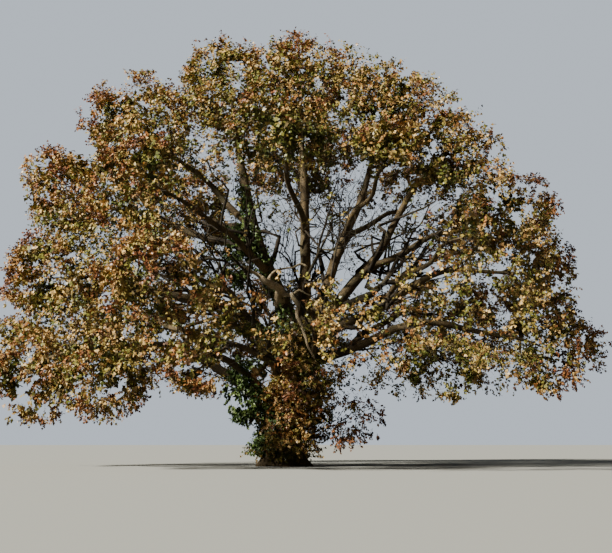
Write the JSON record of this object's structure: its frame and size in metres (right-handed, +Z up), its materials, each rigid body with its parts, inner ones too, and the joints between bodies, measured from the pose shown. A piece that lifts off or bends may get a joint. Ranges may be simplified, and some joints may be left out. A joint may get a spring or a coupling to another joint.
{
  "type": "sycamore tree",
  "caption": "Large open-grown sycamore in autumn leaf: short flared trunk, low fork, and a wide dome of boughs and leaf masses.",
  "frame": {"origin": "centre of the flat cut under the trunk at ground level", "axes": "+Z up the trunk; +X to the right and -Y towards the viewer as the picture shows the tree"},
  "size_m": [27.4592, 23.1479, 19.3146],
  "materials": {
    "bark": "rough weathered bark",
    "dead_wood": "bleached bare wood",
    "autumn_leaf": "dry autumn leaves",
    "climber_leaf": "glossy evergreen leaves"
  },
  "bodies": {
    "root": {"trunk": "bark", "bough_left_low": "bark", "bough_left_mid": "bark", "bough_left_leader": "bark", "bough_centre_leader": "bark", "bough_right_leader": "bark", "bough_right_stem": "bark", "bough_right_bough": "bark", "bough_right_low": "bark", "bough_front_left_low": "bark", "bough_front_low": "bark", "bough_front_mid": "bark", "bough_back_low": "bark", "bough_left_low_back": "bark", "bough_front_left": "bark", "bough_left_high": "bark", "bough_left_shoulder": "bark", "bough_front_left_high": "bark", "bough_back_left_high": "bark", "bough_front_top": "bark", "bough_back_top": "bark", "bough_front_top_right": "bark", "bough_back_right_high": "bark", "bough_right_high": "bark", "bough_front_right": "bark", "bough_right_low_inner": "bark", "bough_back_right_low": "bark", "dead_arm": "dead_wood", "dead_hanging_end": "dead_wood", "foliage_left_low": "autumn_leaf", "foliage_left_mid": "autumn_leaf", "foliage_left_leader": "autumn_leaf", "foliage_centre_leader": "autumn_leaf", "foliage_right_leader": "autumn_leaf", "foliage_right_stem": "autumn_leaf", "foliage_right_bough": "autumn_leaf", "foliage_right_low": "autumn_leaf", "foliage_front_left_low": "autumn_leaf", "foliage_front_low": "autumn_leaf", "foliage_front_mid": "autumn_leaf", "foliage_back_low": "autumn_leaf", "foliage_left_low_back": "autumn_leaf", "foliage_front_left": "autumn_leaf", "foliage_left_high": "autumn_leaf", "foliage_left_shoulder": "autumn_leaf", "foliage_front_left_high": "autumn_leaf", "foliage_back_left_high": "autumn_leaf", "foliage_front_top": "autumn_leaf", "foliage_back_top": "autumn_leaf", "foliage_front_top_right": "autumn_leaf", "foliage_back_right_high": "autumn_leaf", "foliage_right_high": "autumn_leaf", "foliage_front_right": "autumn_leaf", "foliage_right_low_inner": "autumn_leaf", "foliage_back_right_low": "autumn_leaf", "foliage_shoots_right": "autumn_leaf", "foliage_shoots_front": "autumn_leaf", "foliage_climber_left": "climber_leaf", "foliage_climber_high": "climber_leaf", "foliage_climber_back": "climber_leaf"}
  },
  "joints": []
}
